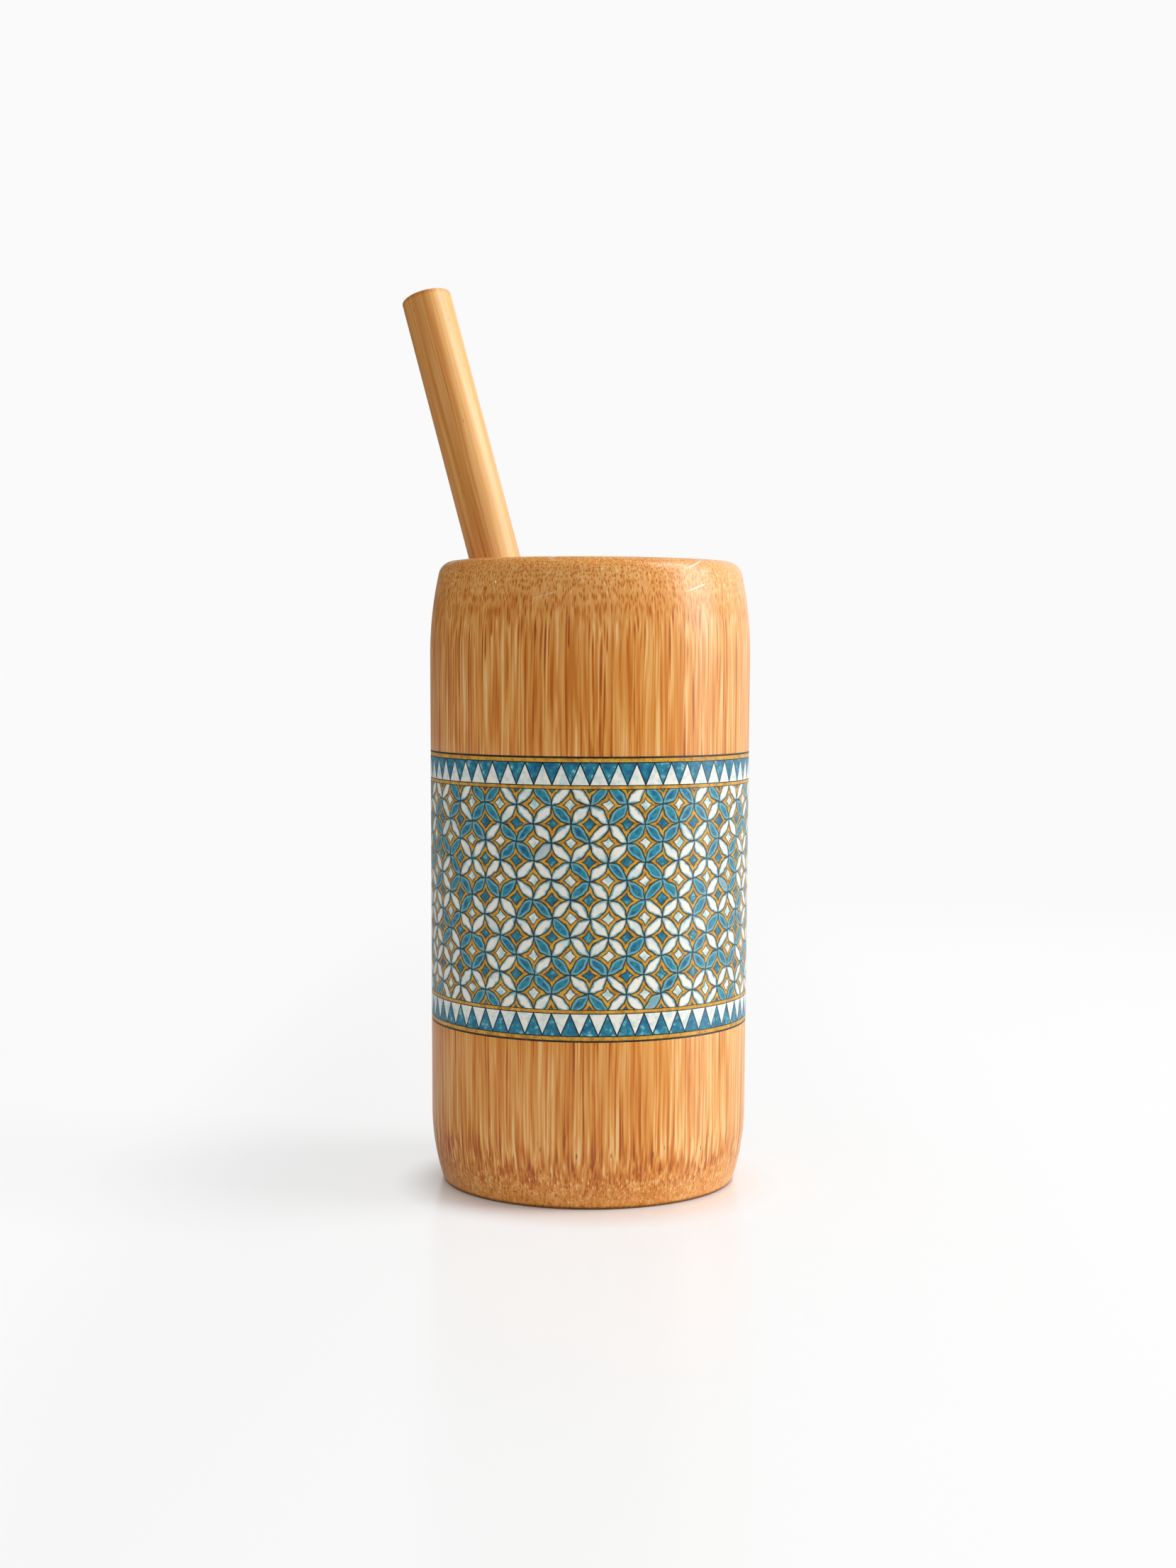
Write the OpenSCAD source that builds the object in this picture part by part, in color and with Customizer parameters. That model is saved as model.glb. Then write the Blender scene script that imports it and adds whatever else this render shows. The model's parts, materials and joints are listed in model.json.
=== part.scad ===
// Bamboo cup with a leaning bamboo straw.
// A culm is turned outside and bored inside, a round floor is glued onto a ledge at
// its foot, and a printed band lies flush in a shallow groove round its waist.
// Millimetres. The cup's axis is Z and its foot stands on z = 0. The front is -Y.

/* [Cup wall] */
// Height of the cup from its foot to the crest of its lip
cup_h = 135.5; // [120:0.5:170]
// Outer diameter at the top of the straight stretch
cup_d = 70; // [62:1:90]
// How much narrower the radius is at the bottom of the straight stretch
taper = 0.5; // [0:0.1:1.5]
// Thickness of the culm wall at the top of the straight stretch
wall_t = 6.5; // [4.5:0.5:8.5]
// Height of the drawn-in shoulder below the crest
shoulder_h = 20; // [14:1:26]
// How far the shoulder comes in by the crest
shoulder_in = 2.5; // [1.2:0.1:3.2]
// Radius of the lip's outer edge
lip_outer_r = 3.4; // [2:0.1:4]
// Radius of the lip's inner edge
lip_inner_r = 1; // [0.4:0.1:1.6]
// Height of the drawn-in foot above the table
foot_h = 16; // [8:1:24]
// How far the foot comes in by the table
foot_in = 2.6; // [1.5:0.1:3.5]
// Radius of the edge that meets the table
foot_edge_r = 0.7; // [0.4:0.1:2]

/* [Floor] */
// Height above the table of the ledge that carries the floor disc
ledge_h = 3; // [2:0.5:6]
// Width of that ledge, inwards from the bored wall
ledge_w = 2; // [1:0.5:4]
// Thickness of the floor disc
floor_t = 5; // [3:0.5:9]
// Bevel on the floor disc's upper edge
floor_bevel = 0.4; // [0.2:0.1:0.8]
// Height and width of the bead that seals the floor's corner
seal_w = 1.3; // [0.9:0.1:1.8]
// Thickness of the bead's two thin edges
seal_edge_t = 0.25; // [0.15:0.05:0.4]

/* [Printed band] */
// Height above the table of the band's lower edge
band_z = 35.5; // [27:0.5:48]
// Height of the band with both its edge lines
band_h = 59; // [30:1:64]
// Thickness of the band and of the lines along its edges
band_t = 0.4; // [0.3:0.05:0.8]
// Height of each lacquer line along the band's edges
line_h = 0.4; // [0.3:0.05:1]
// Gap between the band's two ends, where they meet at the back
seam_gap = 0.2; // [0.1:0.05:0.6]

/* [Straw] */
// Length of the straw
straw_len = 196.5; // [170:0.5:230]
// Outer diameter of the straw
straw_d = 11.2; // [8:0.2:13]
// Wall of the straw
straw_wall = 1.9; // [1:0.1:2.6]
// Bevel on the straw's outer and inner end edges
straw_bevel = 0.4; // [0.2:0.05:0.45]
// Direction in which the straw leans on the lip, anticlockwise from +X
straw_lip_turn = 159; // [0:1:359]
// Direction in which the straw's lower end stands, anticlockwise from +X
straw_foot_turn = 306; // [270:1:359]

/* [Clearances] */
// Gap all round between the floor disc and the bored wall
floor_clear = 0.1; // [0.05:0.05:0.3]
// Gap behind the band and its lines, which their glue fills
glue_t = 0.1; // [0.05:0.01:0.2]
// Gap between the straw and the cup where it rests and leans
straw_clear = 0.3; // [0.1:0.05:0.6]

/* [Hidden] */
$fn = 128;

// How far every cut runs past the face that it opens
overrun = 1;
// How far outlines run into each other where they join
join = 0.5;

// Directions on the round, in degrees
full_turn = 360;
back_turn = 90;

// Radii and levels of the straight stretch
top_r = cup_d / 2;
bottom_r = top_r - taper;
bore_r = top_r - wall_t;
shoulder_z = cup_h - shoulder_h;

// Radius of the arc that leaves an upright line and comes in by d over a height of h
function draw_in_r(h, d) = (h * h + d * d) / (2 * d);

// Distance from the arc's centre line to an edge circle that touches it from inside
function edge_reach(arc_r, edge_r, h) = sqrt(pow(arc_r - edge_r, 2) - pow(h - edge_r, 2));

// The shoulder's arc, and the lip circle that ends it at the crest
shoulder_r = draw_in_r(shoulder_h, shoulder_in);
shoulder_x = top_r - shoulder_r;
lip_x = shoulder_x + edge_reach(shoulder_r, lip_outer_r, shoulder_h);
lip_z = cup_h - lip_outer_r;
lip_touch_share = shoulder_r / (shoulder_r - lip_outer_r);
lip_touch_z = shoulder_z + (lip_z - shoulder_z) * lip_touch_share;
lip_touch_x = shoulder_x + (lip_x - shoulder_x) * lip_touch_share;

// The foot's arc, and the edge circle that ends it at the table
foot_r = draw_in_r(foot_h, foot_in);
foot_x = bottom_r - foot_r;
foot_edge_x = foot_x + edge_reach(foot_r, foot_edge_r, foot_h);
foot_touch_share = foot_r / (foot_r - foot_edge_r);
foot_touch_z = foot_h - (foot_h - foot_edge_r) * foot_touch_share;
foot_touch_x = foot_x + (foot_edge_x - foot_x) * foot_touch_share;

// The floor
ledge_r = bore_r - ledge_w;
floor_z = ledge_h + floor_t;

// Outer radius of the wall at a height on the straight stretch
function outer_r(z) = bottom_r + taper * (z - foot_h) / (shoulder_z - foot_h);

// The band's levels
band_top_z = band_z + band_h;
seam_turn = seam_gap / outer_r(band_z) * full_turn / (2 * PI);

// The straw's axis runs from its lower end, beside the wall, to a point level with the lip's inner edge.
// Each size below depends a little on the lean, so the lean is worked out three times over.
straw_r = straw_d / 2;
straw_bore_r = straw_r - straw_wall;
lip_inner_z = cup_h - lip_inner_r;
function on_round(reach, turn) = [reach * cos(turn), reach * sin(turn)];
straw_foot = on_round(bore_r - straw_r - straw_clear, straw_foot_turn);
function foot_z_at(lean) = floor_z + straw_clear + (straw_r - straw_bevel) * sin(lean);
function lip_reach_at(lean) = bore_r + lip_inner_r - (lip_inner_r + straw_r + straw_clear) / cos(lean);
function way_at(lean) = on_round(lip_reach_at(lean), straw_lip_turn) - straw_foot;
function next_lean(lean) = atan(norm(way_at(lean)) / (lip_inner_z - foot_z_at(lean)));
straw_lean = next_lean(next_lean(next_lean(0)));
straw_foot_z = foot_z_at(straw_lean);
straw_way = way_at(straw_lean);
straw_way_turn = atan2(straw_way.y, straw_way.x);

// Outline of the cup's outside from its axis outwards
module cup_outline() {
    polygon([
        [0, foot_h],
        [bottom_r, foot_h],
        [top_r, shoulder_z],
        [0, shoulder_z]
    ]);
    intersection() {
        translate([shoulder_x, shoulder_z]) circle(shoulder_r);
        translate([0, shoulder_z]) square([top_r, lip_touch_z - shoulder_z]);
    }
    translate([lip_x, lip_z]) circle(lip_outer_r);
    polygon([[0, lip_touch_z], [lip_touch_x, lip_touch_z], [lip_x, lip_z], [lip_x, cup_h], [0, cup_h]]);
    intersection() {
        translate([foot_x, foot_h]) circle(foot_r);
        translate([0, foot_touch_z]) square([bottom_r, foot_h + join - foot_touch_z]);
    }
    translate([foot_edge_x, foot_edge_r]) circle(foot_edge_r);
    polygon([[0, 0], [foot_edge_x, 0], [foot_edge_x, foot_edge_r], [foot_touch_x, foot_touch_z], [0, foot_touch_z]]);
    square([foot_edge_x, foot_touch_z + join]);
}

// Outline of what is bored out: the drinking space, the foot's hollow and the lip's inner edge
module bore_outline() {
    translate([0, ledge_h]) square([bore_r, cup_h - ledge_h + overrun]);
    translate([0, -overrun]) square([ledge_r, ledge_h + 2 * overrun]);
    difference() {
        translate([0, lip_inner_z]) square([bore_r + lip_inner_r, lip_inner_r + overrun]);
        translate([bore_r + lip_inner_r, lip_inner_z]) circle(lip_inner_r);
    }
}

// Outline of a ring that lies flush in the wall between two heights
module flush_outline(low_z, high_z) {
    polygon([
        [outer_r(low_z) - band_t, low_z],
        [outer_r(low_z), low_z],
        [outer_r(high_z), high_z],
        [outer_r(high_z) - band_t, high_z]
    ]);
}

// Outline of the groove that holds the band and both its lines, with room for glue
module groove_outline() {
    groove_t = band_t + glue_t;
    polygon([
        [outer_r(band_z) - groove_t, band_z],
        [outer_r(band_z) + overrun, band_z],
        [outer_r(band_top_z) + overrun, band_top_z],
        [outer_r(band_top_z) - groove_t, band_top_z]
    ]);
}

module cup_wall() {
    color("#c98f42") rotate_extrude() difference() {
        cup_outline();
        bore_outline();
        groove_outline();
    }
}

module base_disc() {
    disc_r = bore_r - floor_clear;
    color("#d3a35c") translate([0, 0, ledge_h]) rotate_extrude() polygon([
        [0, 0],
        [disc_r, 0],
        [disc_r, floor_t - floor_bevel],
        [disc_r - floor_bevel, floor_t],
        [0, floor_t]
    ]);
}

module floor_seal() {
    hollow_r = seal_w - seal_edge_t;
    color("#e6d9b8") rotate_extrude() difference() {
        translate([bore_r - seal_w, floor_z]) square(seal_w);
        translate([bore_r - seal_w, floor_z + seal_w]) circle(hollow_r);
    }
}

module pattern_band() {
    color("#4f8f97")
    rotate_extrude(angle = full_turn - seam_turn, start = back_turn + seam_turn / 2)
        flush_outline(band_z + line_h, band_top_z - line_h);
}

module upper_edge_line() {
    color("#4a3322") rotate_extrude() flush_outline(band_top_z - line_h, band_top_z);
}

module lower_edge_line() {
    color("#4a3322") rotate_extrude() flush_outline(band_z, band_z + line_h);
}

module straw_tube() {
    rotate_extrude() polygon([
        [straw_bore_r, straw_bevel],
        [straw_bore_r + straw_bevel, 0],
        [straw_r - straw_bevel, 0],
        [straw_r, straw_bevel],
        [straw_r, straw_len - straw_bevel],
        [straw_r - straw_bevel, straw_len],
        [straw_bore_r + straw_bevel, straw_len],
        [straw_bore_r, straw_len - straw_bevel]
    ]);
}

module straw() {
    color("#d8ab62")
    translate([straw_foot.x, straw_foot.y, straw_foot_z])
    rotate([0, straw_lean, straw_way_turn])
        straw_tube();
}

cup_wall();
base_disc();
floor_seal();
pattern_band();
upper_edge_line();
lower_edge_line();
straw();
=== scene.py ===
"""A turned bamboo cup with a printed tile band round its waist, and the bamboo straw that leans in it.

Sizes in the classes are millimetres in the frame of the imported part, unless they say otherwise: the cup
stands on z = 0, its axis is Z and its front faces -Y. Meshes are written in metres.
"""

from __future__ import annotations

import json
import logging
import math
from dataclasses import dataclass, field
from enum import Enum
from typing import Mapping, Optional, Sequence, Tuple, Union

import bmesh
import bpy
from mathutils import Matrix, Vector


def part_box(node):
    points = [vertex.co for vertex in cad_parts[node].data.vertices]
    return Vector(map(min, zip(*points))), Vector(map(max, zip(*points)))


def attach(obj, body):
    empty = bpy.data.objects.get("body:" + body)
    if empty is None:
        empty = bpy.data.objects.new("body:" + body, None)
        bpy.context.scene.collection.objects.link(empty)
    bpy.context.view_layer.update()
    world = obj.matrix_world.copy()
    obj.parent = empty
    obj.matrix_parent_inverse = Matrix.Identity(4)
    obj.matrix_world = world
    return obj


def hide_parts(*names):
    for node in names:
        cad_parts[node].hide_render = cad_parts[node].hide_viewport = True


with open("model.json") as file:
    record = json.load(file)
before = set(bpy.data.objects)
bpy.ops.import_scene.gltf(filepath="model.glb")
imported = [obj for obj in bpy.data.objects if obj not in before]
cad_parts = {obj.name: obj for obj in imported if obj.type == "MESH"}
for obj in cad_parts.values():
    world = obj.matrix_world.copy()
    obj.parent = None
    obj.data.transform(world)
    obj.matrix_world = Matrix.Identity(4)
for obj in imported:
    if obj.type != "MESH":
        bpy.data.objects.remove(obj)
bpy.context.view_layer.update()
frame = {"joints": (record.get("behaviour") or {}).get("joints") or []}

log = logging.getLogger("bamboo_cup")

MM = 0.001
PER_METRE = 1000.0
QUARTER = math.radians(90)
FULL_TURN = math.radians(360)
SHARP_ANGLE = math.radians(40)
MERGE_GAP = 1e-4
WHITE = (1.0, 1.0, 1.0, 1.0)
NOISE_MIDDLE = 0.5

# The curve between a chart's levels and light: a straight toe, and a power above it
TOP_LEVEL = 255
TOE_END = 0.04045
TOE_SLOPE = 12.92
CURVE_SHIFT = 0.055
CURVE_POWER = 2.4

# The Mix node's sockets for colours
MIX_SHARE, MIX_BASE, MIX_OVER, MIX_RESULT = 0, 6, 7, 2

# Kinds of value: stops are a ramp's places from 0 to 1 with their colours, a span is where a change
# begins and where it is complete, and a rise is a span and how much it changes
Colour = Tuple[float, float, float, float]
Stops = Sequence[Tuple[float, Colour]]
Span = Tuple[float, float]
Rise = Tuple[float, float, float]
Point = Tuple["Wire", "Wire", "Wire"]
Value = Union["Wire", float]


def paint(red: int, green: int, blue: int) -> Colour:
    """Turn a colour as a painter's chart gives it into the linear colour that shaders use.

    Args:
        red: Red from 0 to 255.
        green: Green from 0 to 255.
        blue: Blue from 0 to 255.

    Returns:
        The linear colour with an alpha of 1.
    """
    linear = []
    for share in (red / TOP_LEVEL, green / TOP_LEVEL, blue / TOP_LEVEL):
        curved = ((share + CURVE_SHIFT) / (1 + CURVE_SHIFT)) ** CURVE_POWER
        linear.append(share / TOE_SLOPE if share <= TOE_END else curved)
    return (linear[0], linear[1], linear[2], 1.0)


class Wire:
    """An output socket that Python's operators turn into Math nodes."""

    def __init__(self, graph: Graph, socket: bpy.types.NodeSocket) -> None:
        """Hold the socket and the graph it belongs to."""
        self.graph = graph
        self.socket = socket

    def math(self, operation: str, *values: Value) -> Wire:
        """Feed this wire and more values to one Math node."""
        return self.graph.math(operation, self, *values)

    def __add__(self, other: Value) -> Wire:
        """Return self + other."""
        return self.math("ADD", other)

    __radd__ = __add__

    def __sub__(self, other: Value) -> Wire:
        """Return self - other."""
        return self.math("SUBTRACT", other)

    def __rsub__(self, other: Value) -> Wire:
        """Return other - self."""
        return self.graph.math("SUBTRACT", other, self)

    def __mul__(self, other: Value) -> Wire:
        """Return self * other."""
        return self.math("MULTIPLY", other)

    __rmul__ = __mul__

    def __truediv__(self, other: Value) -> Wire:
        """Return self / other."""
        return self.math("DIVIDE", other)

    def __neg__(self) -> Wire:
        """Return -self."""
        return self.math("MULTIPLY", -1.0)

    def __abs__(self) -> Wire:
        """Return the size of self without its sign."""
        return self.math("ABSOLUTE")

    def fade(self, start: Value, end: Value, low: Value = 0.0, high: Value = 1.0) -> Wire:
        """Ease from one value to another while this wire goes from start to end.

        Args:
            start: Where the change begins.
            end: Where it is complete, which may lie below start.
            low: The value before start.
            high: The value after end.

        Returns:
            The eased value.
        """
        return self.graph.node(
            "ShaderNodeMapRange",
            {"interpolation_type": "SMOOTHSTEP"},
            {"Value": self, "From Min": start, "From Max": end, "To Min": low, "To Max": high},
        )

    def rise(self, rise: Rise) -> Wire:
        """Ease from 0 to the rise's weight over its span."""
        start, end, weight = rise
        return self.fade(start, end) * weight

    def swing(self, weight: Value) -> Wire:
        """Let a noise swing a value to both sides: (self - the noise's middle) * weight."""
        return (self - NOISE_MIDDLE) * weight


class Graph:
    """The node tree of one material."""

    def __init__(self, name: str) -> None:
        """Start an empty material.

        Args:
            name: The material's name.
        """
        self.material = bpy.data.materials.new(name)
        self.material.use_nodes = True
        self.tree = self.material.node_tree
        self.tree.nodes.clear()

    @classmethod
    def over(cls, tree: bpy.types.NodeTree) -> Graph:
        """Take over a node tree that isn't a material's, such as the world's.

        Args:
            tree: The node tree, which is emptied.

        Returns:
            The graph of that tree.
        """
        graph = cls.__new__(cls)
        graph.tree = tree
        tree.nodes.clear()
        return graph

    def node(
        self,
        kind: str,
        settings: Optional[Mapping[str, object]] = None,
        sockets: Optional[Mapping[Union[str, int], object]] = None,
        output: Union[str, int] = 0,
    ) -> Wire:
        """Add a node, set it up and feed its sockets.

        Args:
            kind: The node's type.
            settings: Its properties, with a ramp's stops as (place, colour) pairs under "stops".
            sockets: Values or wires for its inputs, by name or number.
            output: The output wanted, by name or number.

        Returns:
            That output.
        """
        made = self.tree.nodes.new(kind)
        for name, value in (settings or {}).items():
            if name == "stops":
                self.set_stops(made, value)
            else:
                setattr(made, name, value)
        for key, value in (sockets or {}).items():
            if isinstance(value, Wire):
                self.tree.links.new(value.socket, made.inputs[key])
            else:
                made.inputs[key].default_value = value
        return Wire(self, made.outputs[output])

    def set_stops(self, made: bpy.types.Node, stops: Stops) -> None:
        """Give a ramp its stops.

        Args:
            made: The ColorRamp node.
            stops: Pairs of a place from 0 to 1 and a colour.
        """
        ramp = made.color_ramp
        while len(ramp.elements) < len(stops):
            ramp.elements.new(1.0)
        for element, (place, colour) in zip(ramp.elements, stops):
            element.position = place
            element.color = colour

    def math(self, operation: str, *values: Value) -> Wire:
        """Add a Math node and feed it the values in order."""
        return self.node("ShaderNodeMath", {"operation": operation}, dict(enumerate(values)))

    def ramp(self, value: Wire, stops: Stops) -> Wire:
        """Look a value from 0 to 1 up in a colour ramp with (place, colour) stops."""
        return self.node("ShaderNodeValToRGB", {"stops": stops}, {"Fac": value})

    def mix(self, share: Value, base: object, over: object) -> Wire:
        """Mix two colours by how much of the second shows, from 0 to 1."""
        sockets = {MIX_SHARE: share, MIX_BASE: base, MIX_OVER: over}
        return self.node("ShaderNodeMix", {"data_type": "RGBA"}, sockets, MIX_RESULT)

    def vector(self, x: Value, y: Value, z: Value) -> Wire:
        """Join three values into a vector."""
        return self.node("ShaderNodeCombineXYZ", {}, {0: x, 1: y, 2: z})

    def split(self, vector: Wire) -> Point:
        """Take a vector apart into its x, y and z."""
        outputs = self.node("ShaderNodeSeparateXYZ", {}, {0: vector}).socket.node.outputs
        return Wire(self, outputs[0]), Wire(self, outputs[1]), Wire(self, outputs[2])

    def grain(self, point: Point, gap: float, run: Optional[float] = None) -> Wire:
        """Scale a point so that one unit of a pattern is gap wide, and run long along z if that is given."""
        x, y, z = point
        return self.vector(x / gap, y / gap, z / (run or gap))

    def place(self, centre: Vector = Vector(), turn: Optional[Matrix] = None) -> Point:
        """Read where a point of the piece lies, in millimetres.

        Args:
            centre: The pattern's origin in metres.
            turn: The pattern's turn, if it has one.

        Returns:
            The point's x, y and z in the pattern's own axes.
        """
        coordinates = self.node("ShaderNodeTexCoord", output="Object")
        euler = (turn or Matrix.Identity(3)).to_euler("XYZ")
        moved = self.node(
            "ShaderNodeMapping",
            {"vector_type": "TEXTURE"},
            {"Vector": coordinates, "Location": centre, "Rotation": euler, "Scale": (MM, MM, MM)},
        )
        return self.split(moved)

    def noise(
        self, vector: Wire, detail: float = 2.0, roughness: float = 0.5, output: Union[str, int] = 0
    ) -> Wire:
        """Add a noise pattern from about 0.2 to 0.8, whose grain is one unit of the vector."""
        sockets = {"Vector": vector, "Scale": 1.0, "Detail": detail, "Roughness": roughness}
        return self.node("ShaderNodeTexNoise", {}, sockets, output)

    def cells(self, vector: Wire, output: str = "Distance", spread: float = 1.0, flat: bool = False) -> Wire:
        """Add a pattern of scattered cells, one to each unit of the vector.

        Args:
            vector: The point, already scaled.
            output: The output wanted, such as the distance to a cell's middle.
            spread: How far the cells stray from an even grid.
            flat: Whether the cells are laid out in x and y alone, the same at every z.

        Returns:
            That output.
        """
        settings = {"voronoi_dimensions": "2D" if flat else "3D"}
        return self.node(
            "ShaderNodeTexVoronoi", settings, {"Vector": vector, "Scale": 1.0, "Randomness": spread}, output
        )

    def bump(self, height: Wire, distance: float) -> Wire:
        """Turn heights from 0 to 1 into a bumped normal, which is distance millimetres deep."""
        sockets = {"Height": height, "Distance": distance * MM, "Strength": 1.0}
        return self.node("ShaderNodeBump", {}, sockets)

    def surface(self, **sockets: object) -> bpy.types.Material:
        """Finish the material with a shader, whose sockets are named with underscores for spaces."""
        named = {name.replace("_", " "): value for name, value in sockets.items()}
        return self.finish(self.node("ShaderNodeBsdfPrincipled", {}, named))

    def finish(self, shader: Wire) -> bpy.types.Material:
        """Show a shader on the material's surface.

        Args:
            shader: The shader.

        Returns:
            The finished material.
        """
        end = self.tree.nodes.new("ShaderNodeOutputMaterial")
        self.tree.links.new(shader.socket, end.inputs["Surface"])
        return self.material


@dataclass(frozen=True)
class Culm:
    """Golden bamboo under satin lacquer, whose surface cuts the culm's bundles of fibre long or short.

    Spans and rises of heights and ways across are in millimetres, and the others are shares of a cell or
    values of a noise. The stops give the wood's colour from its darkest tone to its palest.
    """

    name: str = "golden_culm"
    stops: Stops = (
        (0.0, paint(162, 73, 0)),
        (0.25, paint(192, 98, 6)),
        (0.5, paint(217, 133, 40)),
        (0.78, paint(235, 166, 84)),
        (1.0, paint(247, 198, 130)),
    )
    pore_brown: Colour = paint(132, 58, 4)
    # The near black of the painted contact shadow at the table
    contact_shade: Colour = paint(84, 38, 8)
    # The white of the painted glints and highlight lines
    white: Colour = paint(255, 250, 238)

    # The zones of the outside, and the ends where dots take over from strands
    shoulder: Span = (112.0, 126.0)
    lip: Rise = (124.0, 132.5, 0.11)
    base: Span = (7.0, 2.0)
    upper_end: Span = (119.5, 127.5)
    lower_end: Span = (9.7, 4.9)

    # How the whole grain sways: the size of a sway and how far it goes
    sway_w: float = 6.0
    sway_run: float = 31.0
    sway: float = 1.15

    # The bundles on the straight wall: a core, dark or pale, and a pale halo round each dark one
    bundle_gap: float = 0.76
    core_r: float = 0.24
    core_least: float = 0.7
    core_vary: float = 0.6
    swell: Rise = (20.0, 12.0, 0.3)
    core_edge: float = 0.13
    halo_in: Span = (0.08, 0.16)
    halo_out: Span = (0.56, 0.41)
    core_depth: float = 0.55
    core_depth_vary: float = 0.4
    pale_share: float = 0.36
    pale_less: float = 0.3
    kind_edge: float = 0.03

    # The tongues in which the strands end above the foot
    tongue_z: float = 9.5
    tongue_spread: float = 6.0
    tongue_tip: float = 0.35
    tongue_run: float = 9.0
    tongue_edge: float = 0.8

    # The dots where the surface cuts across the bundles, ever shorter towards the crest and the table
    crest_z: float = 135.5
    lip_run: float = 5.0
    lip_rate: float = 12.0
    heel_run: float = 3.9
    heel_rate: float = 10.8
    cut_gap: float = 0.4
    cut_spread: float = 0.78
    cut_edge: Span = (0.52, 0.27)
    cut_depth: float = 0.68
    cut_depth_vary: float = 0.26
    cut_pale: float = 0.04
    foot_dots: Rise = (9.5, 5.5, 0.5)
    calm_foot: Rise = (6.0, 2.0, 0.5)

    # Fine fibres, wider stripes and worn patches, livelier below the band and calmer across it
    fibre_gap: float = 0.5
    fibre_run: float = 20.0
    fibre_detail: float = 0.3
    fibre_tone: float = 1.05
    stripe_w: float = 1.4
    stripe_run: float = 19.0
    stripe_tone: float = 0.62
    lively: Rise = (26.0, 13.0, 0.5)
    calm: Rise = (60.0, 30.0, 0.22)
    ends_less: float = 0.65
    patch_w: float = 0.9
    patch_run: float = 7.0
    worn: Rise = (0.6, 0.32, 0.6)

    # The tone, from 0 for dark to 1 for cream, and what each feature adds to it or takes from it
    tone: float = 0.58
    shade_tone: float = 0.1
    cut_shade_tone: float = 0.14
    dark_tone: float = 0.5
    dash_low: Span = (112.0, 118.0)
    dash_high: Span = (127.0, 122.0)
    dash_tone: float = 0.1
    halo_tone: float = 0.14
    pale_tone: float = 0.36
    pale_foot: Rise = (24.0, 14.0, 0.24)
    waist: Rise = (60.0, 24.0, 0.05)
    low_tone: float = 0.12
    base_tone: float = 0.04
    high_tone: float = 0.1
    # Painted light: the wood is painted paler towards +X, the side the key lamp lights
    painted_lit_side: Rise = (8.0, 34.0, 0.13)

    # Painted highlights: small white glints and long thin slanting highlight lines near the lip
    glint_gap: float = 3.2
    glint_edge: Span = (0.1, 0.05)
    glint_rare: Span = (0.7, 0.72)
    glint_low: Span = (120.0, 124.0)
    glint_high: Span = (134.0, 132.0)
    glint_share: float = 0.85
    around_r: float = 33.0
    highlight_line_run: float = 30.0
    highlight_line_w: float = 1.6
    highlight_line_climb: float = 0.3
    highlight_line_edge: Span = (0.12, 0.07)
    highlight_line_rare: Span = (0.68, 0.7)
    highlight_line_low: Span = (125.0, 128.0)
    highlight_line_share: float = 0.6

    # Brown pores above the foot, and painted shade: a dark band at the table that stands in for the contact
    # shadow
    pore_gap: float = 1.5
    pore_run: float = 5.0
    pore_edge: Span = (0.17, 0.1)
    pore_low: Span = (4.5, 7.0)
    pore_high: Span = (16.0, 11.0)
    pore_share: float = 0.75
    contact_shade_band: Rise = (0.9, 0.3, 0.75)

    # The skin under the lacquer: how rough it is, and the depth of its relief in millimetres
    rough: float = 0.43
    core_gloss: float = 0.05
    fibre_rough: float = 0.1
    relief: float = 0.03
    relief_share: float = 0.5
    specular: float = 0.15

    # The lacquer, which stops short of the table
    lacquer: Span = (0.3, 1.4)
    lacquer_weight: float = 0.6
    lacquer_ior: float = 1.75
    lacquer_rough: float = 0.3

    def material(self) -> bpy.types.Material:
        """Build the material.

        Returns:
            The lacquered bamboo.
        """
        g = Graph(self.name)
        at = x, y, z = g.place()
        drift = g.noise(g.grain(at, self.sway_w, self.sway_run), detail=1.0, output="Color")
        drift_x, drift_y, shade = g.split(drift)
        grain_x = x + drift_x.swing(self.sway)
        grain_y = y + drift_y.swing(self.sway)
        swayed = (grain_x, grain_y, z)
        high = z.fade(*self.shoulder)
        base = z.fade(*self.base)
        ends = z.fade(*self.upper_end) + z.fade(*self.lower_end)

        bundle = g.vector(grain_x / self.bundle_gap, grain_y / self.bundle_gap, 0.0)
        reach = g.cells(bundle, flat=True)
        kind, girth, depth = g.split(g.cells(bundle, "Color", flat=True))
        tongue = self.tongue_z + depth.swing(self.tongue_spread)
        tongue = tongue + (reach - self.tongue_tip) * self.tongue_run
        low = (z - tongue).fade(self.tongue_edge, -self.tongue_edge)
        core_r = self.core_r * (self.core_least + girth * self.core_vary + z.rise(self.swell))
        core = reach.fade(core_r + self.core_edge, core_r - self.core_edge)
        halo_from, halo_full = self.halo_in
        halo = reach.fade(core_r + halo_from, core_r + halo_full) * reach.fade(*self.halo_out)

        rim = g.math("EXPONENT", (z - self.crest_z) / self.lip_run) * self.lip_rate
        heel = g.math("EXPONENT", -z / self.heel_run) * self.heel_rate
        cut = g.vector(grain_x / self.cut_gap, grain_y / self.cut_gap, rim - heel)
        cut_core = g.cells(cut, spread=self.cut_spread).fade(*self.cut_edge)
        cut_kind, cut_girth, cut_shade = g.split(g.cells(cut, "Color", self.cut_spread))
        pale_below = self.cut_pale + z.rise(self.foot_dots)
        cut_pale = (cut_kind - pale_below).fade(self.kind_edge, -self.kind_edge)

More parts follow.
